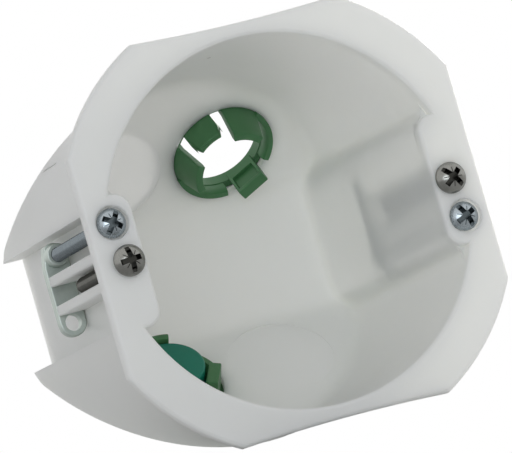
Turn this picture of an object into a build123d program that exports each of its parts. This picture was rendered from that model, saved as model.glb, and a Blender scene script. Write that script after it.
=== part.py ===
"""Flush mounting box for hollow walls, with clamping claws and conduit inserts.

Frame: millimetres, x to the right, z up, y into the wall. The origin is the
centre of the wall hole in the wall's face, where the rim's back face rests.
"""
import os
from math import sqrt

from build123d import *

# Cup that goes into the wall hole
cup_d = 67.8
cup_depth = 61.3
wall_t = 1.5
back_flat = 25.0
knee_r = 4.0

# Rim that lies on the wall, 71 mm across its flats and 80.6 mm across its corners
rim_lip = 1.6
rim_corner_lip = 6.4
rim_t = 2.2
rim_dip = 0.6
rim_edge_r = 0.7

# Claw channels, one on each side
channel_w = 20.4
channel_depth = 5.55
shoulder_r = 3.0

# Rib pair in each channel
rib_t = 1.8
rib_gap = 0.2
rib_length = 33.6
rib_set_back = 0.6

# Device screws, 60 mm apart
device_gap = 1.65
device_d = 3.0
device_length = 27.0
device_head_d = 5.5
device_head_h = 2.1
thread_clearance = 0.05

# Claw screws
claw_screw_d = 2.6
claw_head_d = 5.1
claw_head_h = 1.9
counterbore_gap = 0.45
counterbore_depth = 1.3
claw_screw_tail = 2.2

# Claws
claw_t = 2.0
claw_w = 4.9
claw_reach = 12.0
claw_hole_d = 3.0
claw_gap = 0.2
claw_side_gap = 0.85
claw_floor_gap = 0.1
claw_set_back = 0.2
claw_collar_wall = 0.75
claw_collar_h = 2.2

# Screw recesses, a cross with a full slot
cross_w = 0.9
cross_span = 3.4
cross_depth = 1.3
slot_w = 0.8
slot_depth = 0.9
head_edge_h = 0.6
dome_share = 0.66
dome_rise = 0.68
claw_slot_left = -35.0
claw_slot_right = 25.0
device_slot_left = 5.0
device_slot_right = 40.0

# Conduit entries in the slanted faces
entry_side_inset = 23.0
entry_inset = 14.52
entry_d = 19.2
disc_t = 0.8
disc_step = 0.35

# Conduit inserts for 16 mm conduit
ring_lip = 0.5
ring_t = 2.4
tube_gap = 0.2
tube_t = 1.2
gate_angle = 30.0
finger_start = 100.0
finger_end = 147.0
finger_h = 6.0
finger_lean = 1.6
tooth_reach = 3.0
tooth_h = 1.2
hook_lip = 0.3
hook_h = 0.8
hook_t = 1.0
flap_w = 6.1
flap_tip_w = 4.4
flap_h = 3.9
flap_kink_h = 2.1
flap_lean = 1.5
tongue_w = 5.6
tongue_t = 2.2
tongue_h = 4.2
tongue_rail = 0.6
tongue_bar = 1.0
tongue_recess = 0.7
upper_turn = -54.0
lower_turn = -30.0

# Blanking plug
plug_cap_gap = 0.05
plug_cap_t = 1.4
plug_reach = 5.3
plug_gap = 0.25
plug_t = 1.2

cup_r = cup_d / 2
mouth_r = cup_r - wall_t
rim_half = cup_r + rim_lip
rim_r = cup_r + rim_corner_lip
rim_corner = sqrt(rim_r**2 - rim_half**2)
rim_diagonal = rim_r / sqrt(2)
inner_back = cup_depth - wall_t
slant_y = cup_depth + back_flat / 2
inner_slant_y = slant_y - wall_t * sqrt(2)
channel_floor_x = cup_r - channel_depth
shoulder_x = channel_floor_x - wall_t
shoulder_h = channel_w + 2 * wall_t
rib_outer_x = cup_r - rib_set_back
rib_pitch = device_d + rib_t + 2 * rib_gap
claw_y = rib_length + claw_gap
claw_screw_x = channel_floor_x + claw_floor_gap + claw_w / 2
claw_screw_z = channel_w / 2 - claw_side_gap - claw_w / 2
device_x = channel_floor_x + device_gap
front = Plane.XZ.offset(rim_t)
half_turn = 180.0

entry_x = cup_r - entry_side_inset
entry_z = cup_r - entry_inset
ring_r = entry_d / 2 + ring_lip
tube_r = entry_d / 2 - tube_gap
bore_r = tube_r - tube_t
way_r = tube_r - tooth_reach
hook_r = tube_r + hook_lip

# Seats of the four conduit entries on the inner slanted faces, z axis into the cup
entry_y = inner_slant_y - entry_z
upper_right = Plane((entry_x, entry_y, entry_z), x_dir=(1, 0, 0), z_dir=(0, -1, -1))
upper_left = Plane((-entry_x, entry_y, entry_z), x_dir=(1, 0, 0), z_dir=(0, -1, -1))
lower_right = Plane((entry_x, entry_y, -entry_z), x_dir=(1, 0, 0), z_dir=(0, -1, 1))
lower_left = Plane((-entry_x, entry_y, -entry_z), x_dir=(1, 0, 0), z_dir=(0, -1, 1))

# Inside of the cup, with the two shoulders that house the channels
with BuildPart() as cavity:
    with BuildSketch(front) as mouth:
        Circle(mouth_r)
        with Locations((shoulder_x + rim_r / 2, 0), (-shoulder_x - rim_r / 2, 0)):
            RectangleRounded(rim_r, shoulder_h, shoulder_r, mode=Mode.SUBTRACT)
    extrude(amount=-(rim_t + inner_back))
    with BuildSketch(Plane.YZ) as inner_profile:
        with BuildLine():
            Polyline(
                (-rim_t, rim_r),
                (inner_slant_y - rim_r, rim_r),
                (inner_back, inner_slant_y - inner_back),
                (inner_back, inner_back - inner_slant_y),
                (inner_slant_y - rim_r, -rim_r),
                (-rim_t, -rim_r),
                close=True,
            )
        make_face()
        fillet(inner_profile.vertices().group_by(Axis.Y)[-1], knee_r - wall_t)
    extrude(amount=rim_r, both=True, mode=Mode.INTERSECT)

# Box body, one moulding: cup, rim, claw channels with ribs, entries
with BuildPart() as box_body:
    with BuildSketch(Plane.XZ):
        Circle(cup_r)
    extrude(amount=-cup_depth)
    with BuildSketch(Plane.YZ) as outer_profile:
        with BuildLine():
            Polyline(
                (0, rim_r),
                (slant_y - rim_r, rim_r),
                (cup_depth, back_flat / 2),
                (cup_depth, -back_flat / 2),
                (slant_y - rim_r, -rim_r),
                (0, -rim_r),
                close=True,
            )
        make_face()
        fillet(outer_profile.vertices().group_by(Axis.Y)[-1], knee_r)
    extrude(amount=rim_r, both=True, mode=Mode.INTERSECT)
    with BuildSketch(Plane.XZ):
        with BuildLine():
            Line((rim_half, -rim_corner), (rim_half, rim_corner))
            ThreePointArc((rim_half, rim_corner), (rim_diagonal, rim_diagonal), (rim_corner, rim_half))
            ThreePointArc((rim_corner, rim_half), (0, rim_half - rim_dip), (-rim_corner, rim_half))
            ThreePointArc((-rim_corner, rim_half), (-rim_diagonal, rim_diagonal), (-rim_half, rim_corner))
            Line((-rim_half, rim_corner), (-rim_half, -rim_corner))
            ThreePointArc((-rim_half, -rim_corner), (-rim_diagonal, -rim_diagonal), (-rim_corner, -rim_half))
            ThreePointArc((-rim_corner, -rim_half), (0, rim_dip - rim_half), (rim_corner, -rim_half))
            ThreePointArc((rim_corner, -rim_half), (rim_diagonal, -rim_diagonal), (rim_half, -rim_corner))
        make_face()
    extrude(amount=rim_t)
    add(cavity.part, mode=Mode.SUBTRACT)
    fillet(box_body.edges().filter_by_position(Axis.Y, -rim_t, -rim_t), rim_edge_r)

    with BuildSketch(Plane.XZ):
        with Locations((channel_floor_x + rim_r / 2, 0), (-channel_floor_x - rim_r / 2, 0)):
            Rectangle(rim_r, channel_w)
    extrude(amount=-cup_depth, mode=Mode.SUBTRACT)
    with BuildSketch(Plane.XZ):
        rib_x = (channel_floor_x + rib_outer_x) / 2
        with GridLocations(2 * rib_x, rib_pitch, 2, 2):
            Rectangle(rib_outer_x - channel_floor_x, rib_t)
    extrude(amount=-rib_length)

    with BuildSketch(front):
        with Locations((device_x, 0), (-device_x, 0)):
            Circle(device_d / 2 + thread_clearance)
        with Locations((-claw_screw_x, claw_screw_z), (claw_screw_x, -claw_screw_z)):
            Circle(claw_screw_d / 2 + thread_clearance)
    extrude(amount=-rim_t, mode=Mode.SUBTRACT)
    with BuildSketch(front):
        with Locations((-claw_screw_x, claw_screw_z), (claw_screw_x, -claw_screw_z)):
            Circle(claw_head_d / 2 + counterbore_gap)
    extrude(amount=-counterbore_depth, mode=Mode.SUBTRACT)

    with BuildSketch(upper_right, lower_left):
        Circle(entry_d / 2)
    extrude(amount=wall_t, both=True, mode=Mode.SUBTRACT)
    with BuildSketch(upper_left, lower_right):
        Circle(entry_d / 2)
    extrude(amount=-disc_step, mode=Mode.SUBTRACT)
    with BuildSketch(upper_left.offset(-disc_step - disc_t), lower_right.offset(-disc_step - disc_t)):
        Circle(entry_d / 2)
    extrude(amount=-wall_t, mode=Mode.SUBTRACT)
box_body.part.label = "box_body"


def turn_plane(seat, angle):
    """The same seat, turned about its own z axis."""
    return Plane(seat.origin, x_dir=seat.x_dir.rotate(Axis((0, 0, 0), seat.z_dir), angle), z_dir=seat.z_dir)


def radial_plane(seat, angle):
    """Plane through a seat's axis: x outwards at that angle, y along the axis."""
    turned = turn_plane(seat, angle)
    return Plane(turned.origin, x_dir=turned.x_dir, z_dir=-turned.y_dir)


def build_claw(side):
    """Steel claw of one side: a plate across its screw with a drawn thread collar."""
    screw_x = side * claw_screw_x
    screw_z = -side * claw_screw_z
    tip_z = screw_z + side * claw_reach
    with BuildPart() as claw:
        with BuildSketch(Plane.XZ.offset(-claw_y)):
            with Locations((screw_x, screw_z), (screw_x, tip_z)):
                Circle(claw_w / 2)
            with Locations((screw_x, (screw_z + tip_z) / 2)):
                Rectangle(claw_w, claw_reach)
            Circle(cup_r - claw_set_back, mode=Mode.INTERSECT)
        extrude(amount=-claw_t)
        with BuildSketch(Plane.XZ.offset(-claw_y)):
            with Locations((screw_x, screw_z)):
                Circle(claw_screw_d / 2 + claw_collar_wall)
        extrude(amount=claw_collar_h)
        with BuildSketch(Plane.XZ.offset(-claw_y)):
            with Locations((screw_x, screw_z)):
                Circle(claw_screw_d / 2 + thread_clearance)
            with Locations((screw_x, tip_z)):
                Circle(claw_hole_d / 2)
        extrude(amount=claw_t + claw_collar_h, both=True, mode=Mode.SUBTRACT)
    return claw.part


def build_screw(seat, head_d, head_h, shank_d, length, slot_turn):
    """Pan head screw on its seat plane, whose z axis points out of the box."""
    with BuildPart() as screw:
        with BuildSketch(radial_plane(seat, 0)):
            with BuildLine():
                Polyline(
                    (0, head_h),
                    (0, -length),
                    (shank_d / 2 - thread_clearance, -length),
                    (shank_d / 2, thread_clearance - length),
                    (shank_d / 2, 0),
                    (head_d / 2, 0),
                    (head_d / 2, head_edge_h),
                )
                ThreePointArc(
                    (head_d / 2, head_edge_h),
                    (head_d / 2 * dome_share, head_edge_h + (head_h - head_edge_h) * dome_rise),
                    (0, head_h),
                )
            make_face()
        revolve(axis=Axis(seat.origin, seat.z_dir))
        above = turn_plane(seat, slot_turn).offset(2 * head_h)
        with BuildSketch(above):
            Rectangle(cross_span, cross_w)
            Rectangle(cross_w, cross_span)
        extrude(amount=-head_h - cross_depth, mode=Mode.SUBTRACT)
        with BuildSketch(above):
            Rectangle(slot_w, 2 * head_d)
        extrude(amount=-head_h - slot_depth, mode=Mode.SUBTRACT)
    return screw.part


def build_insert(seat, turn):
    """Conduit insert in an entry: ring outside, sprung fingers reaching into the cup."""
    turned = turn_plane(seat, turn)
    bore_axis = Axis(turned.origin, turned.z_dir)
    with BuildPart() as flap:
        with BuildSketch(radial_plane(turned, half_turn - gate_angle)):
            with BuildLine():
                Polyline(
                    (bore_r, -wall_t),
                    (tube_r, -wall_t),
                    (tube_r, 0),
                    (tube_r - flap_lean, flap_h),
                    (bore_r - flap_lean, flap_h),
                    (bore_r, 0),
                    close=True,
                )
            make_face()
        revolve(axis=bore_axis, revolution_arc=2 * gate_angle)
        with BuildSketch(Plane(turned.origin, x_dir=turned.y_dir, z_dir=turned.x_dir)):
            with BuildLine():
                Polyline(
                    (-flap_w / 2, -wall_t),
                    (-flap_w / 2, flap_kink_h),
                    (-flap_tip_w / 2, flap_h),
                    (flap_tip_w / 2, flap_h),
                    (flap_w / 2, flap_kink_h),
                    (flap_w / 2, -wall_t),
                    close=True,
                )
            make_face()
        extrude(amount=-ring_r, mode=Mode.INTERSECT)
    with BuildPart() as insert:
        with BuildSketch(turned.offset(-wall_t)):
            Circle(ring_r)
            Circle(bore_r, mode=Mode.SUBTRACT)
        extrude(amount=-ring_t)
        add(flap.part)
        for start, hook_start in ((finger_start, gate_angle), (-finger_end, -finger_start)):
            with BuildSketch(radial_plane(turned, start)):
                with BuildLine():
                    Polyline(
                        (bore_r, -wall_t),
                        (tube_r, -wall_t),
                        (tube_r, 0),
                        (tube_r - finger_lean, finger_h),
                        (way_r, finger_h),
                        (way_r, finger_h - tooth_h),
                        (bore_r, 0),
                        close=True,
                    )
                make_face()
            revolve(axis=bore_axis, revolution_arc=finger_end - finger_start)
            with BuildSketch(radial_plane(turned, hook_start)):
                with BuildLine():
                    Polyline(
                        (bore_r, -wall_t),
                        (tube_r, -wall_t),
                        (tube_r, 0),
                        (hook_r, 0),
                        (hook_r, hook_h),
                        (hook_r - hook_t, hook_h),
                        (bore_r, 0),
                        close=True,
                    )
                make_face()
            revolve(axis=bore_axis, revolution_arc=finger_start - gate_angle)
        tongue_x = tube_r - tube_t / 2 - tongue_t / 2
        with BuildSketch(turned.offset(-wall_t)):
            with Locations((tongue_x, 0)):
                Rectangle(tongue_t, tongue_w)
        extrude(amount=wall_t + tongue_h)
        with BuildSketch(turned.offset(tongue_h - tongue_bar)):
            with Locations((tongue_x - tongue_t / 2, 0)):
                Rectangle(2 * tongue_recess, tongue_w - 2 * tongue_rail)
        extrude(amount=tongue_bar - tongue_h, mode=Mode.SUBTRACT)
    return insert.part


def build_plug(seat):
    """Blanking plug pressed into an insert from outside, a cup with a flange in the bore."""
    with BuildPart() as plug:
        with BuildSketch(seat.offset(-wall_t - ring_t)):
            Circle(bore_r - plug_cap_gap)
        extrude(amount=plug_cap_t)
        with BuildSketch(seat.offset(plug_reach)):
            Circle(way_r - plug_gap)
        extrude(amount=-plug_reach - wall_t - ring_t)
        with BuildSketch(seat.offset(plug_reach - plug_t)):
            Circle(way_r - plug_gap - plug_t)
        extrude(amount=-plug_reach - wall_t - ring_t, mode=Mode.SUBTRACT)
    return plug.part


claw_left = build_claw(-1)
claw_left.label = "claw_left"
claw_right = build_claw(1)
claw_right.label = "claw_right"

claw_seat = counterbore_depth - rim_t
claw_length = claw_y + claw_t + claw_screw_tail - claw_seat
left_seat = Plane((-claw_screw_x, claw_seat, claw_screw_z), x_dir=(1, 0, 0), z_dir=(0, -1, 0))
right_seat = Plane((claw_screw_x, claw_seat, -claw_screw_z), x_dir=(1, 0, 0), z_dir=(0, -1, 0))
claw_screw_left = build_screw(
    left_seat, claw_head_d, claw_head_h, claw_screw_d, claw_length, claw_slot_left
)
claw_screw_left.label = "claw_screw_left"
claw_screw_right = build_screw(
    right_seat, claw_head_d, claw_head_h, claw_screw_d, claw_length, claw_slot_right
)
claw_screw_right.label = "claw_screw_right"

device_left = Plane((-device_x, -rim_t, 0), x_dir=(1, 0, 0), z_dir=(0, -1, 0))
device_right = Plane((device_x, -rim_t, 0), x_dir=(1, 0, 0), z_dir=(0, -1, 0))
device_screw_left = build_screw(
    device_left, device_head_d, device_head_h, device_d, device_length, device_slot_left
)
device_screw_left.label = "device_screw_left"
device_screw_right = build_screw(
    device_right, device_head_d, device_head_h, device_d, device_length, device_slot_right
)
device_screw_right.label = "device_screw_right"

conduit_insert = build_insert(upper_right, upper_turn)
conduit_insert.label = "conduit_insert"
closed_insert = build_insert(lower_left, lower_turn)
closed_insert.label = "closed_insert"
blanking_plug = build_plug(lower_left)
blanking_plug.label = "blanking_plug"

os.makedirs("parts", exist_ok=True)
export_step(box_body.part, "parts/box_body.step")
export_step(claw_left, "parts/claw_left.step")
export_step(claw_right, "parts/claw_right.step")
export_step(claw_screw_left, "parts/claw_screw_left.step")
export_step(claw_screw_right, "parts/claw_screw_right.step")
export_step(device_screw_left, "parts/device_screw_left.step")
export_step(device_screw_right, "parts/device_screw_right.step")
export_step(conduit_insert, "parts/conduit_insert.step")
export_step(closed_insert, "parts/closed_insert.step")
export_step(blanking_plug, "parts/blanking_plug.step")
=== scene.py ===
"""Looks of the flush mounting box: moulded shell, screws, claws, inserts and a plain studio."""

import logging
from dataclasses import dataclass
from enum import Enum
from math import copysign, cos, hypot, pi, radians, sin, sqrt, tan
from typing import Callable, Sequence

import bpy
from mathutils import Matrix, Vector


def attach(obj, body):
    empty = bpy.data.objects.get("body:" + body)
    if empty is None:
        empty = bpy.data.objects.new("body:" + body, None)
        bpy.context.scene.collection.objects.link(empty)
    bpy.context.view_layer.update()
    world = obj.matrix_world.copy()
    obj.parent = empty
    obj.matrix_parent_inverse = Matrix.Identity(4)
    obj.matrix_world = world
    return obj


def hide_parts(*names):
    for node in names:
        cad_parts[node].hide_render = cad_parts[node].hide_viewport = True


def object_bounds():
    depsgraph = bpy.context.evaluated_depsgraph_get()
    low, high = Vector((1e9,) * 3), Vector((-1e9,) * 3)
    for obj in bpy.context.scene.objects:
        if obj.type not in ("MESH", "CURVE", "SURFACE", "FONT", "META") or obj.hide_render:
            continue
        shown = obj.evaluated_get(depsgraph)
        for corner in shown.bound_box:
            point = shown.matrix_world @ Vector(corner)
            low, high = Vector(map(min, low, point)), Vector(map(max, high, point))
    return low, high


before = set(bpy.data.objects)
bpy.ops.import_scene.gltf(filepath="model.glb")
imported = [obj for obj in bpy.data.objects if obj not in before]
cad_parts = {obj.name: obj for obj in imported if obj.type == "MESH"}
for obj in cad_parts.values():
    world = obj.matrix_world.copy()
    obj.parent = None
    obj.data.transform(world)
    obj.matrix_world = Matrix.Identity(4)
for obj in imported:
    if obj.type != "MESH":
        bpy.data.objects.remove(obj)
cad_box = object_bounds()

LOG = logging.getLogger("flush_box")
MM = 0.001
QUARTER = pi / 2
EIGHTH = pi / 4
SLANT = sqrt(2)
FULL_TURN = 360.0
ORIGIN = (0.0, 0.0, 0.0)
INTO_WALL = (0.0, 1.0, 0.0)
UPWARD = (0.0, 0.0, 1.0)
# Name of the face attribute that carries painted shade on the screws.
PAINTED_SHADE_ATTR = "recess"

# Limits of the mesh work.
CUT_SNAP = 1e-7
DOUBLE_GAP = 0.0005 * MM
PLATE_GAP = 0.05 * MM
NEAR = MM / 10
SLIVER_SIDES = 6
DRUM_SIDES = 96
SMALL_SIDES = 64
ROUND_STEPS = 4
EDGE_STEPS = 3

# Places and turns that pieces share.
CLAW_X = 30.9 * MM
CLAW_Z = 6.9 * MM
DEVICE_X = 30.0 * MM
ENTRY_X = 10.9 * MM
OPEN_TURN = -54.0
PLUGGED_TURN = -30.0

Piece = bpy.types.Object
Material = bpy.types.Material
Node = bpy.types.Node
Tree = bpy.types.NodeTree
Socket = bpy.types.NodeSocket
Point = tuple[float, float, float]
Colour = tuple[float, float, float]
Loop = tuple[float, float]
EdgePick = Callable[[Vector, Vector], bool]


class Side(Enum):
    """The two sides of the box that carry a claw channel."""

    LEFT = -1
    RIGHT = 1

    @property
    def word(self) -> str:
        """The side's name as the nodes spell it."""
        return self.name.lower()


class Merge(Enum):
    """Ways to combine two solids."""

    CUT = "DIFFERENCE"
    WELD = "UNION"
    COMMON = "INTERSECT"


CUT, WELD, COMMON = Merge

class Pick(Enum):
    """What edit mode selects."""

    VERTEX = "VERT"
    EDGE = "EDGE"
    FACE = "FACE"


def only(piece: Piece) -> None:
    """Selects one object and nothing else."""
    bpy.ops.object.select_all(action="DESELECT")
    piece.select_set(True)
    bpy.context.view_layer.objects.active = piece


def open_edit(piece: Piece, pick: Pick) -> None:
    """Enters edit mode on one object."""
    only(piece)
    bpy.ops.object.mode_set(mode="EDIT")
    bpy.ops.mesh.select_mode(type=pick.value)


def open_all(piece: Piece) -> None:
    """Enters edit mode on one object with all its faces selected."""
    open_edit(piece, Pick.FACE)
    bpy.ops.mesh.select_all(action="SELECT")


def close_edit() -> None:
    """Leaves edit mode."""
    bpy.ops.object.mode_set(mode="OBJECT")


def apply(piece: Piece, *steps: bpy.types.Modifier) -> None:
    """Applies modifiers of one object in the order given."""
    only(piece)
    for name in [step.name for step in steps]:
        bpy.ops.object.modifier_apply(modifier=name)


def settle() -> Piece:
    """Puts the new primitive's place into its mesh and returns it."""
    bpy.ops.object.transform_apply(location=True, rotation=True, scale=True)
    return bpy.context.object


def add_drum(
    place: Point, axis: Point, radius: float, near: float, far: float, sides: int = DRUM_SIDES
) -> Piece:
    """Adds a cylinder that a boolean or an edit shapes further.

    Args:
        place: Point on its axis.
        axis: Direction of the axis.
        radius: Radius.
        near: Start along the axis from that point.
        far: End along the axis from that point.
        sides: Number of sides.
    Returns:
        The cylinder.
    """
    along = Vector(axis).normalized()
    bpy.ops.mesh.primitive_cylinder_add(
        vertices=sides, radius=radius, depth=far - near,
        location=Vector(place) + along * (near + far) / 2,
        rotation=along.to_track_quat("Z", "Y").to_euler(),
    )
    return settle()


def add_block(low: Point, high: Point) -> Piece:
    """Adds a block between two corners, given in any order."""
    first, second = Vector(low), Vector(high)
    bpy.ops.mesh.primitive_cube_add(
        size=1, location=(first + second) / 2, scale=[abs(part) for part in second - first]
    )
    return settle()


def merge(target: Piece, tool: Piece, how: Merge) -> None:
    """Combines a tool into a target and drops the tool."""
    step = target.modifiers.new("merge", "BOOLEAN")
    step.operation = how.value
    step.solver = "EXACT"
    step.object = tool
    apply(target, step)
    bpy.data.objects.remove(tool, do_unlink=True)


def slice_off(piece: Piece, place: Point, normal: Point) -> None:
    """Removes what lies beyond a plane and closes the cut."""
    open_all(piece)
    bpy.ops.mesh.bisect(
        plane_co=place, plane_no=Vector(normal).normalized(),
        use_fill=True, clear_outer=True, threshold=CUT_SNAP,
    )
    close_edit()


def round_edges(
    piece: Piece, width: float, segments: int, pick: EdgePick, sharp: float = 25.0
) -> None:
    """Rounds the sharp edges that a test picks.

    Args:
        piece: Object to work on.
        width: Distance from the edge where the rounding starts.
        segments: Faces across the rounding.
        pick: Test on an edge's middle and its direction.
        sharp: Least angle of an edge, in degrees.
    """
    open_edit(piece, Pick.EDGE)
    bpy.ops.mesh.select_all(action="DESELECT")
    bpy.ops.mesh.edges_select_sharp(sharpness=radians(sharp))
    close_edit()
    mesh = piece.data
    chosen = []
    for edge in mesh.edges:
        start, stop = (mesh.vertices[index].co for index in edge.vertices)
        if edge.select and pick((start + stop) / 2, stop - start):
            chosen.append(edge)
    for group in (mesh.vertices, mesh.edges, mesh.polygons):
        group.foreach_set("select", [False] * len(group))
    for edge in chosen:
        edge.select = True
        for index in edge.vertices:
            mesh.vertices[index].select = True
    bpy.ops.object.mode_set(mode="EDIT")
    bpy.ops.mesh.bevel(
        offset=width, offset_type="OFFSET", segments=segments, affect="EDGES", clamp_overlap=False
    )
    close_edit()


def tidy_mesh(piece: Piece, gap: float = DOUBLE_GAP) -> None:
    """Merges doubles, drops slivers, fills the small holes they leave and turns faces outwards."""
    open_all(piece)
    bpy.ops.mesh.remove_doubles(threshold=gap)
    bpy.ops.mesh.dissolve_degenerate(threshold=gap / 2)
    bpy.ops.mesh.delete_loose()
    bpy.ops.mesh.select_all(action="SELECT")
    bpy.ops.mesh.fill_holes(sides=SLIVER_SIDES)
    bpy.ops.mesh.normals_make_consistent(inside=False)
    close_edit()


def smooth(piece: Piece, angle: float = 35.0) -> None:
    """Cleans a finished mesh, smooths its curved faces and keeps flat ones flat."""
    tidy_mesh(piece)
    bpy.ops.object.shade_smooth_by_angle(angle=radians(angle))
    step = piece.modifiers.new("flat_faces", "WEIGHTED_NORMAL")
    step.keep_sharp = True
    apply(piece, step)


def place_mesh(piece: Piece, seat: Matrix) -> None:
    """Moves a piece from its own axes to its seat, into the mesh."""
    only(piece)
    piece.matrix_world = seat
    settle()


def turn_about(axis: str, degrees: float) -> Matrix:
    """Rotation about one of the main axes."""
    return Matrix.Rotation(radians(degrees), 4, axis)


def spin_strip(points: Sequence[Loop], start: float, sweep: float, steps: int) -> Piece:
    """Spins a closed section round the z axis.

    Args:
        points: Radius and height of the section's corners.
        start: Angle where the section stands first, in degrees.
        sweep: Angle it turns through, in degrees.
        steps: Sections along the turn.
    Returns:
        The closed solid.
    """
    bpy.ops.mesh.primitive_circle_add(vertices=len(points), radius=1.0, fill_type="NGON")
    piece = settle()
    angle = radians(start)
    for vertex, (radius, height) in zip(piece.data.vertices, points):
        vertex.co = (radius * cos(angle), radius * sin(angle), height)
    open_all(piece)
    if sweep >= FULL_TURN:
        bpy.ops.mesh.delete(type="ONLY_FACE")
        bpy.ops.mesh.select_mode(type=Pick.EDGE.value)
        bpy.ops.mesh.select_all(action="SELECT")
    bpy.ops.mesh.spin(steps=steps, angle=radians(sweep), center=ORIGIN, axis=(0, 0, -1))
    close_edit()
    tidy_mesh(piece)
    return piece


@dataclass(frozen=True)
class Place:
    """What a finished piece stands for: its body, its CAD node and its slot."""

    body: str
    node: str
    slot: str

    def take(self, piece: Piece, name: str, material: Material) -> None:
        """Names, dresses and files a finished piece.

        Args:
            piece: Finished object.
            name: Its name.
            material: Its finish.
        """
        piece.name = name
        piece.data.name = name
        piece.data.materials.clear()
        piece.data.materials.append(material)
        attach(piece, self.body)
        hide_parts(self.node)
        LOG.info("%s: %d faces on body %s", name, len(piece.data.polygons), self.body)


@dataclass(frozen=True)
class Entry:
    """Seat of one conduit entry on an inner slanted face, z axis into the cup."""

    across: float
    up: int
    depth: float = 52.3 * MM
    rise: float = 19.38 * MM

    def seat(self, turn: float = 0.0) -> Matrix:
        """Frame of the entry.

        Args:
            turn: Turn about the entry's own axis, in degrees.
        Returns:
            Matrix from the entry's axes to the object's.
        """
        inward = Vector((0.0, -1.0, -self.up)).normalized()
        right = Vector((1.0, 0.0, 0.0))
        upward = inward.cross(right)
        place = Vector((self.across, self.depth, self.up * self.rise))
        axes = Matrix((right, upward, inward)).transposed().to_4x4()
        return Matrix.Translation(place) @ axes @ turn_about("Z", turn)

    def drum(self, radius: float, low: float, high: float) -> Piece:
        """Cylinder on the entry's axis between two heights."""
        drum = add_drum(ORIGIN, UPWARD, radius, low, high)
        place_mesh(drum, self.seat())
        return drum


UPPER_RIGHT = Entry(ENTRY_X, 1)
UPPER_LEFT = Entry(-ENTRY_X, 1)
LOWER_RIGHT = Entry(ENTRY_X, -1)
LOWER_LEFT = Entry(-ENTRY_X, -1)


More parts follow.
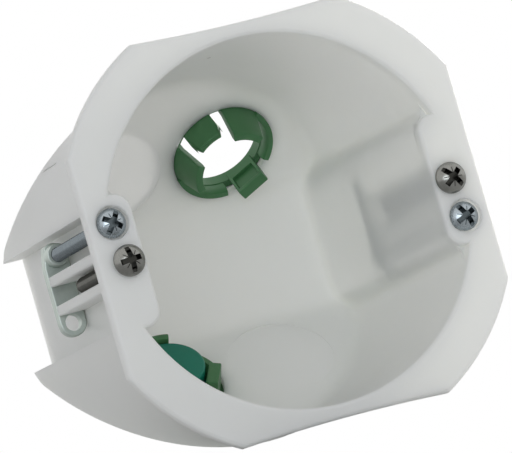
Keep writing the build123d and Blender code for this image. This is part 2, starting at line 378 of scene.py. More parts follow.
@dataclass
class BoxShell:
    """One-piece moulding: cup with slanted back faces, rim, claw channels, ribs and entries."""

    cup_r: float = 33.9 * MM
    cup_depth: float = 61.3 * MM
    wall: float = 1.5 * MM
    back_half: float = 12.5 * MM
    knee: float = 2.0 * MM
    back_round: float = 1.3 * MM
    inner_knee: float = 3.0 * MM
    inner_round: float = 2.0 * MM
    rim_r: float = 40.3 * MM
    rim_half: float = 35.5 * MM
    rim_t: float = 2.2 * MM
    rim_dip: float = 0.6 * MM
    rim_round: float = 0.7 * MM
    shoulder_x: float = 26.85 * MM
    shoulder_half: float = 11.7 * MM
    shoulder_round: float = 3.0 * MM
    shoulder_slope: float = 12.0 * MM
    channel_x: float = 28.35 * MM
    channel_half: float = 10.2 * MM
    rib_x: float = 33.3 * MM
    rib_low: float = 1.7 * MM
    rib_high: float = 3.5 * MM
    rib_length: float = 33.6 * MM
    rib_round: float = 0.3 * MM
    device_hole_r: float = 1.55 * MM
    claw_hole_r: float = 1.35 * MM
    counterbore_r: float = 3.0 * MM
    counterbore_depth: float = 1.3 * MM
    entry_r: float = 9.6 * MM
    disc_step: float = 0.1 * MM
    upper_disc_t: float = 0.7 * MM
    lower_disc_t: float = 1.15 * MM
    score_turn: float = 137.0
    score_near: float = 38.0 * MM
    score_far: float = 46.5 * MM
    score_w: float = 0.3 * MM
    score_depth: float = 1.0 * MM
    soft_start: float = 0.3 * MM
    soft_grain: float = 0.7 * MM
    soft_factor: float = 0.5
    soft_rounds: int = 46
    soft_growth: float = 1.0024
    lead: float = 14.0 * MM
    hair: float = 0.02 * MM
    spare: float = 3.0 * MM
    cup_sides: int = 160
    rim_sides: int = 320
    hollow_sides: int = 720
    hole_sides: int = 48
    arc_steps: int = 6
    shoulder_steps: int = 8

    @staticmethod
    def flat_end(flat_half: float, knee: float) -> float:
        """Distance from the back's middle line at which its knee starts."""
        return flat_half - knee * tan(EIGHTH / 2)

    def back_height(self, out: float, far: float, flat_half: float, knee: float) -> float:
        """Depth of the back at a distance from its middle line: flat, knee, then a slant."""
        start = self.flat_end(flat_half, knee)
        if out <= start:
            return far
        if out <= start + knee * sin(EIGHTH):
            return far - knee + sqrt(knee**2 - (out - start) ** 2)
        return far + flat_half - out

    def add_cup(
        self, radius: float, far: float, flat_half: float, knee: float, edge: float,
        mouth: Sequence[Loop],
    ) -> Piece:
        """Shapes a closed cup from a disc whose back is rounded all round.

        Args:
            radius: Radius of the side wall.
            far: Depth of the flat back.
            flat_half: Half the height of the flat back.
            knee: Radius between flat and slanted faces.
            edge: Size of the rounding between back and side wall.
            mouth: Depth and radius of the loops from the side wall to the front.
        Returns:
            The closed solid.
        """
        bpy.ops.mesh.primitive_circle_add(
            vertices=self.cup_sides, radius=radius, fill_type="NGON", rotation=(QUARTER, 0, 0)
        )
        cup = settle()
        open_all(cup)
        turns = [QUARTER * step / self.arc_steps for step in range(self.arc_steps + 1)]
        for low, high in zip(turns, turns[1:]):
            bpy.ops.mesh.inset(thickness=edge * (cos(low) - cos(high)))
        start = self.flat_end(flat_half, knee)
        for step in range(self.arc_steps + 1):
            line = start + knee * sin(EIGHTH * step / self.arc_steps)
            for up in (1, -1):
                bpy.ops.mesh.select_all(action="SELECT")
                bpy.ops.mesh.bisect(plane_co=(0, 0, up * line), plane_no=UPWARD, threshold=CUT_SNAP)
        close_edit()
        for vertex in cup.data.vertices:
            inward = radius - hypot(vertex.co.x, vertex.co.z)
            lack = min(1.0, max(0.0, 1.0 - inward / edge))
            height = self.back_height(abs(vertex.co.z), far, flat_half, knee)
            vertex.co.y = height - edge * (1.0 - sqrt(1.0 - lack**2))
        open_edit(cup, Pick.EDGE)
        bpy.ops.mesh.select_all(action="DESELECT")
        bpy.ops.mesh.select_non_manifold()
        last = radius
        for depth, wide in mouth:
            bpy.ops.mesh.extrude_edges_move()
            close_edit()
            for vertex in cup.data.vertices:
                if vertex.select:
                    vertex.co = (vertex.co.x * wide / last, depth, vertex.co.z * wide / last)
            last = wide
            bpy.ops.object.mode_set(mode="EDIT")
        bpy.ops.mesh.edge_face_add()
        close_edit()
        tidy_mesh(cup)
        return cup

    def add_cavity(self, flared: bool) -> Piece:
        """Shapes the inside of the cup, with the two shoulders left out of it.

        Args:
            flared: True for the rounded mouth, False for plain sides with sloping shoulders.
        Returns:
            The closed solid to cut away.
        """
        mouth_r = self.cup_r - self.wall
        inner_back = self.cup_depth - self.wall
        inner_half = self.back_half + self.wall - self.wall * SLANT
        if flared:
            mouth = [(self.rim_round - self.rim_t, mouth_r)]
            for step in range(1, self.arc_steps + 1):
                turn = QUARTER * step / self.arc_steps
                depth = self.rim_round * (1 - sin(turn)) - self.rim_t
                mouth.append((depth, mouth_r + self.rim_round * (1 - cos(turn))))
            mouth.append((-self.rim_t - self.spare, mouth_r + self.rim_round))
            front, slope = -self.rim_t - self.hair, 0.0
        else:
            mouth = [(-self.lead, mouth_r)]
            front, slope = -self.lead - self.spare, self.shoulder_slope
        cavity = self.add_cup(
            mouth_r, inner_back, inner_half, self.inner_knee, self.inner_round, mouth
        )
        for side in Side:
            inner = side.value * self.shoulder_x
            block = add_block(
                (inner, front, -self.shoulder_half),
                (side.value * self.rim_r, self.cup_depth + self.spare, self.shoulder_half),
            )
            for vertex in block.data.vertices:
                if abs(vertex.co.x) > self.rim_half and vertex.co.y > 0:
                    vertex.co.z += copysign(slope, vertex.co.z)
            round_edges(
                block, self.shoulder_round, self.shoulder_steps,
                lambda middle, run: abs(middle.x - inner) < MM and abs(run.y) > self.rim_half,
            )
            round_edges(
                block, self.rim_round, ROUND_STEPS,
                lambda middle, run: middle.y < front + self.hair and abs(middle.x) < self.rim_half,
            )
            merge(cavity, block, CUT)
        return cavity

    def add_mouth(self) -> Piece:
        """Front end of the cavity, crisp where it passes the rim."""
        mouth = self.add_cavity(flared=True)
        slice_off(mouth, (0, self.soft_start + 2 * self.hair, 0), INTO_WALL)
        return mouth

    def add_soft_cavity(self) -> Piece:
        """Cavity behind the rim, with every edge blended softly as the moulding is."""
        cavity = self.add_cavity(flared=False)
        remesh = cavity.modifiers.new("even_faces", "REMESH")
        remesh.mode = "VOXEL"
        remesh.voxel_size = self.soft_grain
        blend = cavity.modifiers.new("soft_edges", "SMOOTH")
        blend.factor = self.soft_factor
        blend.iterations = self.soft_rounds
        apply(cavity, remesh, blend)
        open_all(cavity)
        growth = (self.soft_growth, 1.0, self.soft_growth)
        bpy.ops.transform.resize(value=growth, center_override=ORIGIN)
        close_edit()
        slice_off(cavity, (0, self.soft_start, 0), (0, -1, 0))
        for entry in (UPPER_RIGHT, LOWER_LEFT):
            merge(cavity, entry.drum(self.entry_r, -self.spare, self.wall), WELD)
        for entry in (UPPER_LEFT, LOWER_RIGHT):
            merge(cavity, entry.drum(self.entry_r, -self.disc_step, self.wall), WELD)
        return cavity

    def add_rim(self) -> Piece:
        """Shapes the rim: a round plate with two flats and two slightly hollow sides."""
        rim = add_drum(ORIGIN, INTO_WALL, self.rim_r, -self.rim_t, 0, self.rim_sides)
        for across, up in ((1, 0), (-1, 0), (0, 1), (0, -1)):
            slice_off(rim, (across * self.rim_half, 0, up * self.rim_half), (across, 0, up))
        corner = self.rim_r**2 - self.rim_half**2
        hollow_r = (corner + self.rim_dip**2) / (2 * self.rim_dip)
        for up in (1, -1):
            centre = (0, 0, up * (self.rim_half - self.rim_dip + hollow_r))
            hollow = add_drum(
                centre, INTO_WALL, hollow_r, -self.spare, self.spare, self.hollow_sides
            )
            merge(rim, hollow, CUT)
        tidy_mesh(rim, PLATE_GAP)
        front = self.hair / 2 - self.rim_t
        round_edges(rim, self.rim_round, ROUND_STEPS, lambda middle, run: middle.y < front)
        return rim

    def add_channels(self, shell: Piece) -> None:
        """Cuts the claw channels and sets the rib pairs in them."""
        for side in Side:
            out = side.value
            merge(shell, add_block(
                (out * self.channel_x, 0, -self.channel_half),
                (out * (self.rim_r + self.spare), self.cup_depth + self.spare, self.channel_half),
            ), CUT)
            for up in (1, -1):
                rib = add_block(
                    (out * (self.channel_x - self.wall / 2), -self.rim_t / 4, up * self.rib_low),
                    (out * self.rib_x, self.rib_length, up * self.rib_high),
                )
                edge, end = self.rib_x - NEAR, self.rib_length - NEAR
                round_edges(
                    rib, self.rib_round, EDGE_STEPS,
                    lambda middle, run: abs(middle.x) > edge or middle.y > end,
                )
                merge(shell, rib, WELD)

    def add_holes(self, shell: Piece) -> None:
        """Drills the screw holes, scores the wall and thins the closed entries from outside."""
        for side in Side:
            claw = (side.value * CLAW_X, 0, -side.value * CLAW_Z)
            device = (side.value * DEVICE_X, 0, 0)
            drills = (
                (device, self.device_hole_r, self.rim_t),
                (claw, self.claw_hole_r, self.rim_t),
                (claw, self.counterbore_r, self.counterbore_depth - self.rim_t),
            )
            for place, radius, bottom in drills:
                drill = add_drum(place, INTO_WALL, radius, -self.spare, bottom, self.hole_sides)
                merge(shell, drill, CUT)
        score = add_block(
            (self.cup_r - self.score_depth, self.score_near, -self.score_w / 2),
            (self.cup_r + self.spare, self.score_far, self.score_w / 2),
        )
        place_mesh(score, turn_about("Y", -self.score_turn))
        merge(shell, score, CUT)
        for entry, thick in ((UPPER_LEFT, self.upper_disc_t), (LOWER_RIGHT, self.lower_disc_t)):
            merge(shell, entry.drum(self.entry_r, -self.spare, -self.disc_step - thick), CUT)

    def build(self, material: Material) -> None:
        """Builds and dresses the moulding.

        Args:
            material: Finish of the box.
        """
        shell = self.add_cup(
            self.cup_r, self.cup_depth, self.back_half, self.knee, self.back_round,
            [(-self.rim_t / 2, self.cup_r)],
        )
        merge(shell, self.add_rim(), WELD)
        merge(shell, self.add_mouth(), CUT)
        self.add_channels(shell)
        self.add_holes(shell)
        merge(shell, self.add_soft_cavity(), CUT)
        smooth(shell)
        Place("box", "box_body", "box").take(shell, "moulded_box", material)


@dataclass
class ConduitInsert:
    """Sprung insert of one entry: ring, flap, two toothed fingers, two hooks and a tongue."""

    ring_r: float = 10.1 * MM
    tube_r: float = 9.4 * MM
    bore_r: float = 8.2 * MM
    way_r: float = 6.4 * MM
    hook_r: float = 9.7 * MM
    wall: float = 1.5 * MM
    ring_t: float = 2.4 * MM
    sunk: float = 0.5 * MM
    overlap: float = 3.0
    gate: float = 30.0
    finger_start: float = 100.0
    finger_end: float = 147.0
    finger_h: float = 6.0 * MM
    finger_lean: float = 1.6 * MM
    tooth_h: float = 1.2 * MM
    hook_h: float = 0.8 * MM
    hook_t: float = 1.0 * MM
    flap_half: float = 3.05 * MM
    flap_tip_half: float = 2.2 * MM
    flap_h: float = 3.9 * MM
    flap_kink_h: float = 2.1 * MM
    flap_lean: float = 1.5 * MM
    tongue_in: float = 6.6 * MM
    tongue_out: float = 8.8 * MM
    tongue_half: float = 2.8 * MM
    tongue_h: float = 4.2 * MM
    tongue_rail: float = 0.6 * MM
    tongue_bar: float = 1.0 * MM
    tongue_recess: float = 0.7 * MM
    edge: float = 0.22 * MM
    edge_angle: float = 35.0
    soft_from: float = 0.3 * MM
    tongue_soft_from: float = 0.05 * MM
    edge_steps: int = 2
    ring_sides: int = 180
    flap_steps: int = 30
    finger_steps: int = 24
    hook_steps: int = 36

    @property
    def base(self) -> float:
        """Height where the details end, sunk into the ring."""
        return -self.wall - self.sunk

    @property
    def foot(self) -> tuple[Loop, ...]:
        """Section corners of a detail within the wall, kept off the bore's own face."""
        return (self.bore_r + self.sunk / 4, self.base), (self.tube_r, self.base), (self.tube_r, 0)

    def soften(self, piece: Piece, above: float) -> None:
        """Rounds the edges of a moulded detail above a height."""
        round_edges(
            piece, self.edge, self.edge_steps, lambda middle, run: middle.z > above,
            sharp=self.edge_angle,
        )

    def add_ring(self) -> Piece:
        """Ring that lies against the outside of the box."""
        low, high = -self.wall - self.ring_t, -self.wall
        ring = add_drum(ORIGIN, UPWARD, self.ring_r, low, high, self.ring_sides)
        bore = add_drum(ORIGIN, UPWARD, self.bore_r, low - MM, high + MM, self.ring_sides)
        merge(ring, bore, CUT)
        round_edges(ring, self.edge, EDGE_STEPS, lambda middle, run: middle.z < low + MM)
        return ring

    def add_flap(self) -> Piece:
        """Flap opposite the tongue, with cut corners."""
        section = (
            *self.foot, (self.tube_r - self.flap_lean, self.flap_h),
            (self.bore_r - self.flap_lean, self.flap_h), (self.bore_r, 0),
        )
        flap = spin_strip(section, FULL_TURN / 2 - self.gate, 2 * self.gate, self.flap_steps)
        outline = add_block(
            (-2 * self.ring_r, -self.flap_half, 2 * self.base), (0, self.flap_half, self.flap_h)
        )
        slope = Vector((0.0, self.flap_h - self.flap_kink_h, self.flap_half - self.flap_tip_half))
        for out in (1, -1):
            kink = (0, out * self.flap_half, self.flap_kink_h)
            slice_off(outline, kink, (0, out * slope.y, slope.z))
        merge(flap, outline, COMMON)
        tidy_mesh(flap)
        self.soften(flap, self.soft_from)
        return flap

    def add_finger(self, start: float) -> Piece:
        """Finger with a tooth that grips the conduit, from its start angle."""
        section = (
            *self.foot, (self.tube_r - self.finger_lean, self.finger_h),
            (self.way_r, self.finger_h), (self.way_r, self.finger_h - self.tooth_h),
            (self.bore_r, 0),
        )
        sweep = self.finger_end - self.finger_start
        finger = spin_strip(section, start, sweep, self.finger_steps)
        self.soften(finger, self.soft_from)
        return finger

    def add_hook(self, start: float) -> Piece:
        """Hook that snaps over the inner edge of the entry."""
        inner, outer = self.bore_r + self.sunk / 8, self.tube_r - self.sunk / 8
        section = (
            (self.bore_r + self.sunk / 3, self.base), (outer, self.base), (outer, 0),
            (self.hook_r, 0), (self.hook_r, self.hook_h),
            (self.hook_r - self.hook_t, self.hook_h), (inner, 0),
        )
        sweep = self.finger_start - self.gate + self.overlap
        return spin_strip(section, start, sweep, self.hook_steps)

    def add_tongue(self) -> Piece:
        """Stop tongue with a recessed inner face between two rails and a bar."""
        tongue = add_block(
            (self.tongue_in, -self.tongue_half, self.base),
            (self.tongue_out, self.tongue_half, self.tongue_h),
        )
        inner_half = self.tongue_half - self.tongue_rail
        merge(tongue, add_block(
            (self.tongue_in - MM, -inner_half, 0),
            (self.tongue_in + self.tongue_recess, inner_half, self.tongue_h - self.tongue_bar),
        ), CUT)
        self.soften(tongue, self.tongue_soft_from)
        return tongue

    def build(self, name: str, node: str, seat: Matrix, material: Material) -> None:
        """Builds one insert on its seat.

        Args:
            name: Name of the piece.
            node: CAD node it stands for.
            seat: Frame of its entry.
            material: Finish.
        """
        insert = self.add_ring()
        details = (
            self.add_flap(), self.add_finger(self.finger_start), self.add_finger(-self.finger_end),
            self.add_hook(self.gate), self.add_hook(-self.finger_start - self.overlap),
            self.add_tongue(),
        )
        for detail in details:
            merge(insert, detail, WELD)
        smooth(insert)
        place_mesh(insert, seat)
        Place("box", node, "insert").take(insert, name, material)


@dataclass
class BlankingPlug:
    """Plug pressed into an insert: a cup with a flange in the bore."""

    face_r: float = 6.15 * MM
    face_h: float = 5.3 * MM
    face_round: float = 0.45 * MM
    flange_r: float = 8.15 * MM
    flange_low: float = -3.9 * MM
    flange_high: float = -2.5 * MM
    hollow_r: float = 4.95 * MM
    hollow_h: float = 4.1 * MM

    def build(self, name: str, node: str, seat: Matrix, material: Material) -> None:
        """Builds the plug on its seat.

        Args:
            name: Name of the piece.
            node: CAD node it stands for.
            seat: Frame of its entry.
            material: Finish.
        """
        section = [(0.0, self.face_h)]
        for step in range(ROUND_STEPS + 1):
            turn = QUARTER * step / ROUND_STEPS
            section.append((
                self.face_r - self.face_round * (1 - sin(turn)),
                self.face_h - self.face_round * (1 - cos(turn)),
            ))
        section += [
            (self.face_r, self.flange_high), (self.flange_r, self.flange_high),
            (self.flange_r, self.flange_low), (self.hollow_r, self.flange_low),
            (self.hollow_r, self.hollow_h), (0.0, self.hollow_h),
        ]
        plug = spin_strip(section, 0.0, FULL_TURN, DRUM_SIDES)
        smooth(plug)
        place_mesh(plug, seat)
        Place("box", node, "plug").take(plug, name, material)


@dataclass
class Claw:
    """Steel claw of one side: a stamped plate with a drawn collar and a free hole."""

    front: float = 33.8 * MM
    thick: float = 2.0 * MM
    half: float = 2.45 * MM
    reach: float = 12.0 * MM
    trim_r: float = 33.7 * MM
    edge: float = 0.3 * MM
    collar_r: float = 2.05 * MM
    collar_h: float = 2.2 * MM
    screw_hole_r: float = 1.35 * MM
    free_hole_r: float = 1.5 * MM
    trim_sides: int = 192

    def build(self, side: Side, material: Material) -> None:
        """Builds the claw of one side.

        Args:
            side: Side of the box.
            material: Finish.
        """
        out = side.value
        screw = (out * CLAW_X, self.front, -out * CLAW_Z)
        tip = (out * CLAW_X, self.front, out * (self.reach - CLAW_Z))
        claw = add_drum(screw, INTO_WALL, self.half, 0, self.thick, SMALL_SIDES)
        for vertex in claw.data.vertices:
            vertex.select = out * (vertex.co.z - screw[2]) > 0
        for group in (claw.data.edges, claw.data.polygons):
            group.foreach_set("select", [False] * len(group))
        open_edit(claw, Pick.VERTEX)
        bpy.ops.transform.translate(value=(0, 0, out * self.reach))
        close_edit()
        trim = add_drum(ORIGIN, INTO_WALL, self.trim_r, 0, 2 * self.front, self.trim_sides)
        merge(claw, trim, COMMON)
        tidy_mesh(claw, PLATE_GAP)
        round_edges(claw, self.edge, EDGE_STEPS, lambda middle, run: abs(run.y) < NEAR)
        collar = add_drum(screw, INTO_WALL, self.collar_r, -self.collar_h, self.edge, SMALL_SIDES)
        end = self.front - self.collar_h + NEAR
        round_edges(collar, self.edge, EDGE_STEPS, lambda middle, run: middle.y < end)
        merge(claw, collar, WELD)
        low, high = -2 * self.collar_h, 2 * self.thick
        for place, radius in ((screw, self.screw_hole_r), (tip, self.free_hole_r)):
            merge(claw, add_drum(place, INTO_WALL, radius, low, high, SMALL_SIDES), CUT)
        smooth(claw)
        place = Place(f"{side.word}_claw", f"claw_{side.word}", "claw")
        place.take(claw, f"stamped_claw_{side.word}", material)


@dataclass
class PanScrew:
    """Pan head screw with a cross recess, a full slot and a rolled thread."""

    kind: str
    slot_name: str
    head_r: float
    head_h: float
    shank_r: float
    length: float
    pitch: float
    across: float
    depth: float
    drop: float
    turns: tuple[float, float]
    rim_h: float = 0.6 * MM
    rim_round: float = 0.18 * MM
    thread_h: float = 0.2 * MM
    thread_gap: float = 0.004 * MM
    plain: float = 1.2 * MM
    cross_half: float = 2.35 * MM
    cross_w: float = 0.48 * MM
    cross_depth: float = 1.5 * MM
    cross_taper: float = 0.55
    cross_turns: tuple[float, float] = (0.0, 90.0)
    slot_w: float = 0.4 * MM
    slot_depth: float = 0.9 * MM
    tick_w: float = 0.07 * MM
    tick_depth: float = 0.18 * MM
    tick_drop: float = 0.3 * MM
    tick_reach: float = 1.75 * MM
    tick_turns: tuple[float, float] = (45.0, 135.0)
    mark_depth: float = 0.07 * MM
    # Share of painted shade given to the threaded shank.
    shank_shade: float = 0.6
    dome_steps: int = 10
    thread_steps: int = 24
    spare_turns: int = 4

    def crown(self, out: float) -> float:
        """Height of the domed head at a distance from the screw's axis."""
        rise = self.head_h - self.rim_h
        chord = (self.head_r**2 - rise**2) / (2 * rise)
        return self.rim_h - chord + sqrt(max((rise + chord) ** 2 - out**2, 0.0))

    def add_head(self) -> Piece:
        """Domed head with its collar of plain shank below."""
        section = [
            (0.0, -self.plain), (self.shank_r, -self.plain), (self.shank_r, 0.0),
            (self.head_r - self.rim_round, 0.0), (self.head_r, self.rim_round),
            (self.head_r, self.rim_h),
        ]
        for step in range(1, self.dome_steps + 1):
            out = self.head_r * cos(QUARTER * step / self.dome_steps)
            section.append((max(out, 0.0), self.crown(out)))
        return spin_strip(section, 0.0, FULL_TURN, SMALL_SIDES)

    def add_thread(self) -> Piece:
        """Rolled thread on the shank, closed flat at both ends."""
        core, low = self.shank_r - self.thread_h, -self.length - 2 * self.pitch
        corners = ((core, low), (self.shank_r, low + self.pitch / 2), (core, low + self.pitch))
        bpy.ops.mesh.primitive_circle_add(vertices=len(corners), radius=1.0, fill_type="NOTHING")
        thread = settle()
        for vertex, (radius, height) in zip(thread.data.vertices, corners):
            vertex.co = (radius, 0.0, height)
        for edge in thread.data.edges:
            edge.select = set(edge.vertices) == {0, len(corners) - 1}
        open_edit(thread, Pick.EDGE)
        bpy.ops.mesh.delete(type="EDGE")
        close_edit()
        step = thread.modifiers.new("thread", "SCREW")
        step.screw_offset = self.pitch
        step.iterations = int(self.length / self.pitch) + self.spare_turns
        step.steps = step.render_steps = self.thread_steps
        apply(thread, step)
        tidy_mesh(thread, self.thread_gap)
        slice_off(thread, (0, 0, -self.plain / 2), UPWARD)
        slice_off(thread, (0, 0, -self.length), (0, 0, -1))
        tidy_mesh(thread)
        return thread

    def cut_bar(
        self, screw: Piece, turn: float, half: Loop, low: float, high: float, taper: float = 1.0
    ) -> None:
        """Cuts one straight bar across the head.

        Args:
            screw: Screw to cut.
            turn: Turn of the bar about the screw's axis, in degrees.
            half: Half its length and half its width.
            low: Height of its floor.
            high: Height of its top.
            taper: Share of its length that is left at the floor.
        """
        bar = add_block((-half[0], -half[1], low), (half[0], half[1], high))
        for vertex in bar.data.vertices:
            if vertex.co.z < self.head_h:
                vertex.co.x *= taper
        place_mesh(bar, turn_about("Z", turn))
        merge(screw, bar, CUT)

    def cut_recess(self, screw: Piece, turn: float) -> None:
        """Cuts the tapered cross, the full slot and the four short ticks between them."""
        top, lip = 2 * self.head_h, self.head_h + self.tick_depth
        floor = self.head_h - self.cross_depth
        for arm in self.cross_turns:
            half = (self.cross_half, self.cross_w)
            self.cut_bar(screw, turn + arm, half, floor, lip, self.cross_taper)
        half = (self.slot_w, 2 * self.head_r)
        self.cut_bar(screw, turn, half, self.head_h - self.slot_depth, top)
        floor = self.head_h - self.tick_depth - self.tick_drop
        for arm in self.tick_turns:
            self.cut_bar(screw, turn + arm, (self.tick_reach, self.tick_w), floor, top)

    def paint_recess_shade(self, screw: Piece) -> None:
        """Paints shade into the driver recess in full and into the threaded shank in part, as a
        face attribute that darkens their colour.
        """
        shade_levels = []
        for face in screw.data.polygons:
            out = hypot(face.center.x, face.center.y)
            below = self.crown(out) - face.center.z
            sunk = below > self.mark_depth and face.center.z > self.mark_depth
            # Full painted shade on faces sunk in the driver recess; the shank gets part shade
            # below.
            hollow = 1.0 if sunk and out < self.head_r - self.rim_round else 0.0
            shade_levels.append(self.shank_shade if face.center.z < -self.plain / 2 else hollow)
        mask = screw.data.attributes.new(PAINTED_SHADE_ATTR, "FLOAT", "FACE")
        mask.data.foreach_set("value", shade_levels)

    def build(self, side: Side, material: Material) -> None:
        """Builds the screw of one side.

        Args:
            side: Side of the box.
            material: Finish.
        """
        out = side.value
        screw = self.add_head()
        merge(screw, self.add_thread(), WELD)
        self.cut_recess(screw, self.turns[0] if side is Side.LEFT else self.turns[1])
        smooth(screw)
        self.paint_recess_shade(screw)
        seat = Matrix.Translation((out * self.across, self.depth, -out * self.drop))
        place_mesh(screw, seat @ Matrix.Rotation(QUARTER, 4, "X"))
        node = f"{self.kind}_screw_{side.word}"
        place = Place(f"{side.word}_{self.kind}_screw", node, self.slot_name)
        place.take(screw, f"threaded_{node}", material)


CLAW_SCREW = PanScrew(
    kind="claw", slot_name="zinc", head_r=2.55 * MM, head_h=1.9 * MM, shank_r=1.3 * MM,
    length=38.9 * MM, pitch=0.45 * MM, across=CLAW_X, depth=-0.9 * MM, drop=CLAW_Z,
    turns=(-35.0, 25.0),
)
DEVICE_SCREW = PanScrew(
    kind="device", slot_name="nickel", head_r=2.75 * MM, head_h=2.1 * MM, shank_r=1.5 * MM,
    length=27.0 * MM, pitch=0.5 * MM, across=DEVICE_X, depth=-2.2 * MM, drop=0.0,
    turns=(5.0, 40.0),
)


class NodePen:
    """Adds nodes to one tree and wires them."""

    def __init__(self, tree: Tree) -> None:
        """Keeps the tree that nodes go into."""
        self.tree = tree

    def fill(self, node: Node, values: dict) -> None:
        """Sets sockets of a node, each to a constant or to the output that feeds it."""
        for name, value in values.items():
            if isinstance(value, Socket):
                self.tree.links.new(value, node.inputs[name])
            else:
                node.inputs[name].default_value = value

    def add(self, kind: str, values: dict | None = None, **settings: object) -> Node:
        """Adds a node.

        Args:
            kind: Node type without the ShaderNode prefix.
            values: Socket name to constant or to the output that feeds it.
            settings: Properties of the node itself.
        Returns:
            The new node.
        """
        node = self.tree.nodes.new("ShaderNode" + kind)
        for name, value in settings.items():
            setattr(node, name, value)
        self.fill(node, values or {})
        return node

    def calc(self, operation: str, first: object, second: object) -> Socket:
        """Adds a sum on two values and returns its result."""
        return self.add("Math", {0: first, 1: second}, operation=operation).outputs[0]

    def blend(self, share: Socket, first: object, second: Colour) -> Socket:
        """Mixes a colour or an output with a colour and returns the mix."""
        start = (*first, 1.0) if isinstance(first, tuple) else first
        return self.add("MixRGB", {0: share, 1: start, 2: (*second, 1.0)}).outputs[0]

    def noise(self, place: Socket, scale: object, detail: float = 2.0) -> Socket:
        """Adds noise at a place and returns its value."""
        values = {"Vector": place, "Scale": scale, "Detail": detail}
        return self.add("TexNoise", values).outputs["Fac"]

    def spread(self, value: Socket, low: object, high: object, start: float = 0.0) -> Socket:
        """Maps a value from the range start to 1 onto low to high and returns the result."""
        ends = {"Value": value, "From Min": start, "To Min": low, "To Max": high}
        return self.add("MapRange", ends).outputs[0]


def start_material(name: str) -> tuple[Material, NodePen, Node]:
    """Makes a material and returns it with a pen and its surface shader."""
    material = bpy.data.materials.new(name)
    material.use_nodes = True
    shader = material.node_tree.nodes["Principled BSDF"]
    return material, NodePen(material.node_tree), shader


class EffectGroups:
    """Shader node groups that several finishes share."""

    def __init__(self) -> None:
        """Builds the groups once."""
        self.haze = self._mottle("moulding_haze", coarse=60.0, fine=900.0, detail=3.0)
        self.specks = self._specks()
        self.grain = self._mottle("plating_grain", coarse=700.0, fine=4000.0, detail=4.0)

    @staticmethod
    def _start(name: str, inputs: Sequence[tuple[str, float]], outputs: Sequence[str]) -> tuple:
        """Makes an empty group with float sockets.

        Args:
            name: Group name.
            inputs: Socket names with their defaults.
            outputs: Names of the outgoing values.
        Returns:
            A pen for the group, its incoming values, its output node and its coordinates.
        """
        group = bpy.data.node_groups.new(name, "ShaderNodeTree")
        sockets = group.interface
        for label, default in inputs:
            socket = sockets.new_socket(label, in_out="INPUT", socket_type="NodeSocketFloat")
            socket.default_value = default
        for label in outputs:
            sockets.new_socket(label, in_out="OUTPUT", socket_type="NodeSocketFloat")
        pen = NodePen(group)
        source = group.nodes.new("NodeGroupInput")
        sink = group.nodes.new("NodeGroupOutput")
        return pen, source.outputs, sink, pen.add("TexCoord").outputs["Object"]

    def _mottle(self, name: str, coarse: float, fine: float, detail: float) -> Tree:
        """Coarse and fine noise, with their sum as a height.

        Args:
            name: Group name.
            coarse: Usual scale of the coarse noise.
            fine: Usual scale of the fine noise.
            detail: Detail of the coarse noise.
        Returns:
            The group.
        """
        pen, given, sink, place = self._start(
            name, (("Coarse", coarse), ("Fine", fine)), ("Coarse", "Fine", "Height")
        )
        blotch = pen.noise(place, given["Coarse"], detail)
        grain = pen.noise(place, given["Fine"])
        height = pen.calc("ADD", blotch, grain)
        pen.fill(sink, {"Coarse": blotch, "Fine": grain, "Height": height})
        return pen.tree

    def _specks(self) -> Tree:
        """Scattered dust specks, as a mask that is 1 on a speck."""
        pen, given, sink, place = self._start(
            "dust_specks", (("Scale", 120.0), ("Size", 0.05), ("Share", 0.12)), ("Mask",)
        )
        cells = pen.add("TexVoronoi", {"Vector": place, "Scale": given["Scale"]}).outputs
        near = pen.calc("LESS_THAN", cells["Distance"], given["Size"])
        pick = pen.add("SeparateColor", {"Color": cells["Color"]}).outputs["Red"]
        few = pen.calc("LESS_THAN", pick, given["Share"])
        pen.fill(sink, {"Mask": pen.calc("MULTIPLY", near, few)})
        return pen.tree


@dataclass(frozen=True)
class PlasticFinish:
    """Moulded polypropylene with cloudy colour, dust specks and a satin skin."""

    name: str
    light: Colour
    deep: Colour
    speck: Colour
    roughness: tuple[float, float]
    cloud_scale: float
    subsurface: float
    scatter: Colour
    scatter_depth: float
    bump: float
    bump_depth: float = 0.1 * MM
    ior: float = 1.49

    def build(self, effects: EffectGroups) -> Material:
        """Makes the material.

        Args:
            effects: Shared node groups.
        Returns:
            The finished material.
        """
        material, pen, shader = start_material(self.name)
        haze = pen.add("Group", {"Coarse": self.cloud_scale}, node_tree=effects.haze).outputs
        specks = pen.add("Group", node_tree=effects.specks).outputs["Mask"]
        tint = pen.blend(haze["Coarse"], self.light, self.deep)
        tint = pen.blend(specks, tint, self.speck)
        skin = {"Height": haze["Height"], "Strength": self.bump, "Distance": self.bump_depth}
        pen.fill(shader, {
            "Base Color": tint,
            "Roughness": pen.spread(haze["Coarse"], *self.roughness),
            "Normal": pen.add("Bump", skin).outputs[0],
            "IOR": self.ior,
            "Subsurface Weight": self.subsurface,
            "Subsurface Radius": self.scatter,
            "Subsurface Scale": self.scatter_depth,
        })
        return material


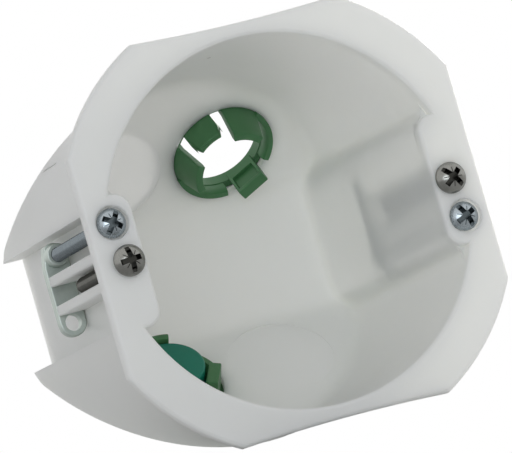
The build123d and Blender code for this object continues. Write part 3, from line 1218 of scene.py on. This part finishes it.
@dataclass(frozen=True)
class PlatedFinish:
    """Plated steel with blotches, fine grain and painted shade in the hollows that a piece marks.
    """

    name: str
    bright: Colour
    dull: Colour
    # Colour of the painted shade that the marked recess and shank turn to.
    hollow: Colour
    roughness: tuple[float, float]
    blotch_scale: float
    bump: float
    bump_depth: float = 0.05 * MM

    def build(self, effects: EffectGroups) -> Material:
        """Makes the material.

        Args:
            effects: Shared node groups.
        Returns:
            The finished material.
        """
        material, pen, shader = start_material(self.name)
        grain = pen.add("Group", {"Coarse": self.blotch_scale}, node_tree=effects.grain).outputs
        tint = pen.blend(grain["Coarse"], self.bright, self.dull)
        # Painted shade: faces that the screw marks mix towards the hollow colour.
        recess = pen.add("Attribute", attribute_name=PAINTED_SHADE_ATTR).outputs["Fac"]
        tint = pen.blend(recess, tint, self.hollow)
        skin = {"Height": grain["Height"], "Strength": self.bump, "Distance": self.bump_depth}
        pen.fill(shader, {
            "Base Color": tint,
            "Roughness": pen.spread(grain["Fine"], *self.roughness),
            "Normal": pen.add("Bump", skin).outputs[0],
            "Metallic": 1.0,
        })
        return material


MILKY = PlasticFinish(
    name="milky_polypropylene", light=(0.87, 0.876, 0.852), deep=(0.84, 0.847, 0.82),
    speck=(0.35, 0.34, 0.30), roughness=(0.36, 0.5), cloud_scale=55.0, subsurface=1.0,
    scatter=(1.0, 0.98, 0.95), scatter_depth=4.0 * MM, bump=0.12,
)
GREEN = PlasticFinish(
    name="green_polypropylene", light=(0.09, 0.265, 0.108), deep=(0.06, 0.2, 0.075),
    speck=(0.2, 0.26, 0.2), roughness=(0.38, 0.52), cloud_scale=160.0, subsurface=0.12,
    scatter=(0.5, 1.0, 0.5), scatter_depth=0.6 * MM, bump=0.15,
)
TEAL = PlasticFinish(
    name="teal_polypropylene", light=(0.009, 0.28, 0.185), deep=(0.006, 0.21, 0.138),
    speck=(0.15, 0.25, 0.2), roughness=(0.36, 0.48), cloud_scale=140.0, subsurface=0.1,
    scatter=(0.4, 1.0, 0.8), scatter_depth=0.6 * MM, bump=0.12,
)
# The hollow colours are painted shade for the marked recess and shank of the screws.
ZINC = PlatedFinish(
    name="bright_zinc", bright=(0.46, 0.51, 0.54), dull=(0.3, 0.34, 0.37),
    hollow=(0.1, 0.12, 0.13), roughness=(0.2, 0.36), blotch_scale=900.0, bump=0.12,
)
NICKEL = PlatedFinish(
    name="dark_nickel", bright=(0.34, 0.34, 0.32), dull=(0.19, 0.19, 0.175),
    hollow=(0.04, 0.04, 0.036), roughness=(0.16, 0.3), blotch_scale=800.0, bump=0.1,
)
CLAW_ZINC = PlatedFinish(
    name="dull_zinc", bright=(0.6, 0.66, 0.62), dull=(0.44, 0.49, 0.46),
    hollow=(0.2, 0.22, 0.2), roughness=(0.42, 0.6), blotch_scale=500.0, bump=0.25,
)


@dataclass(frozen=True)
class SoftBox:
    """One round soft box that faces the object."""

    name: str
    place: Point
    size: float
    watts: float
    colour: Colour
    aim: Point = (0.0, 0.03, 0.0)

    def hang(self) -> None:
        """Hangs the lamp."""
        light = bpy.data.lights.new(self.name, "AREA")
        light.shape = "DISK"
        light.size = self.size
        light.energy = self.watts
        light.color = self.colour
        lamp = bpy.data.objects.new(self.name, light)
        lamp.location = self.place
        toward = Vector(self.aim) - Vector(self.place)
        lamp.rotation_euler = toward.to_track_quat("-Z", "Y").to_euler()
        lamp.visible_camera = False
        bpy.context.scene.collection.objects.link(lamp)


SOFT_BOXES = (
    SoftBox("key_soft_box", (0.5, 0.5, 0.2), 0.4, 2.4, (1.0, 0.985, 0.95)),
    SoftBox("front_soft_box", (-0.38, -0.72, 0.06), 0.5, 1.65, (0.86, 0.93, 1.0)),
)


@dataclass
class Studio:
    """Camera at the photograph's angle, pale floor and soft light."""

    focal_pixels: float = 5000.0
    image_width: float = 512.0
    sensor_mm: float = 36.0
    clip_start: float = 0.01
    position: Point = (-0.29279, -0.79682, -0.06493)
    turn_degrees: Point = (94.5898, 15.9687, -18.5486)
    light_from: Point = (0.7, 0.1, -0.3)
    ambient: tuple[float, float] = (0.34, 0.82)
    floor_gap: float = 0.2 * MM
    floor_size: float = 3.0
    floor_light: Colour = (0.80, 0.80, 0.80)
    floor_dull: Colour = (0.77, 0.77, 0.77)
    floor_mottle: float = 30.0
    floor_roughness: float = 0.8

    def set_camera(self) -> None:
        """Places the camera where the photograph was taken."""
        camera = bpy.data.cameras.new("photo_camera")
        camera.sensor_width = self.sensor_mm
        camera.lens = self.focal_pixels / self.image_width * self.sensor_mm
        camera.clip_start = self.clip_start
        holder = bpy.data.objects.new("photo_camera", camera)
        holder.location = self.position
        holder.rotation_euler = [radians(angle) for angle in self.turn_degrees]
        bpy.context.scene.collection.objects.link(holder)
        bpy.context.scene.camera = holder

    def set_world(self) -> None:
        """White surroundings for the camera and reflections, a softer level for the light."""
        world = bpy.data.worlds.new("studio_white")
        world.use_nodes = True
        pen = NodePen(world.node_tree)
        path = pen.add("LightPath").outputs
        seen = pen.calc("MAXIMUM", path["Is Camera Ray"], path["Is Glossy Ray"])
        seen = pen.calc("MAXIMUM", seen, path["Is Transmission Ray"])
        place = pen.add("TexCoord").outputs["Generated"]
        toward = Vector(self.light_from).normalized()
        lit = pen.add("VectorMath", {0: place, 1: toward}, operation="DOT_PRODUCT")
        soft = pen.spread(lit.outputs["Value"], *self.ambient, start=-1.0)
        back = world.node_tree.nodes["Background"]
        pen.fill(back, {"Color": (1.0, 1.0, 1.0, 1.0), "Strength": pen.spread(seen, soft, 1.0)})
        bpy.context.scene.world = world
        bpy.context.scene.view_settings.view_transform = "Standard"

    def add_floor(self, low: float) -> None:
        """Lays the pale floor under the object, open to a view from below.

        Args:
            low: Height of the object's lowest point.
        """
        place = (0, 0, low - self.floor_gap)
        bpy.ops.mesh.primitive_plane_add(size=self.floor_size, location=place)
        floor = bpy.context.object
        floor.name = "floor"
        material, pen, shader = start_material("pale_floor")
        spot = pen.add("TexCoord").outputs["Object"]
        mottle = pen.noise(spot, self.floor_mottle)
        tint = pen.blend(mottle, self.floor_light, self.floor_dull)
        pen.fill(shader, {"Base Color": tint, "Roughness": self.floor_roughness})
        below = pen.add("NewGeometry").outputs["Backfacing"]
        clear = pen.add("BsdfTransparent").outputs[0]
        pick = pen.add("MixShader", {0: below, 1: shader.outputs[0], 2: clear}).outputs[0]
        pen.fill(material.node_tree.nodes["Material Output"], {"Surface": pick})
        floor.data.materials.append(material)

    def build(self) -> None:
        """Sets up camera, surroundings, lamps and floor."""
        self.set_camera()
        self.set_world()
        for lamp in SOFT_BOXES:
            lamp.hang()
        self.add_floor(cad_box[0].z)


def main() -> None:
    """Builds every sub-assembly, then the studio."""
    logging.basicConfig(level=logging.INFO, format="%(name)s: %(message)s")
    effects = EffectGroups()
    BoxShell().build(MILKY.build(effects))
    green = GREEN.build(effects)
    insert = ConduitInsert()
    insert.build("open_insert", "conduit_insert", UPPER_RIGHT.seat(OPEN_TURN), green)
    insert.build("plugged_insert", "closed_insert", LOWER_LEFT.seat(PLUGGED_TURN), green)
    BlankingPlug().build("entry_plug", "blanking_plug", LOWER_LEFT.seat(), TEAL.build(effects))
    dull, zinc, nickel = (finish.build(effects) for finish in (CLAW_ZINC, ZINC, NICKEL))
    for side in Side:
        Claw().build(side, dull)
        CLAW_SCREW.build(side, zinc)
        DEVICE_SCREW.build(side, nickel)
    Studio().build()


if __name__ == "__main__":
    main()
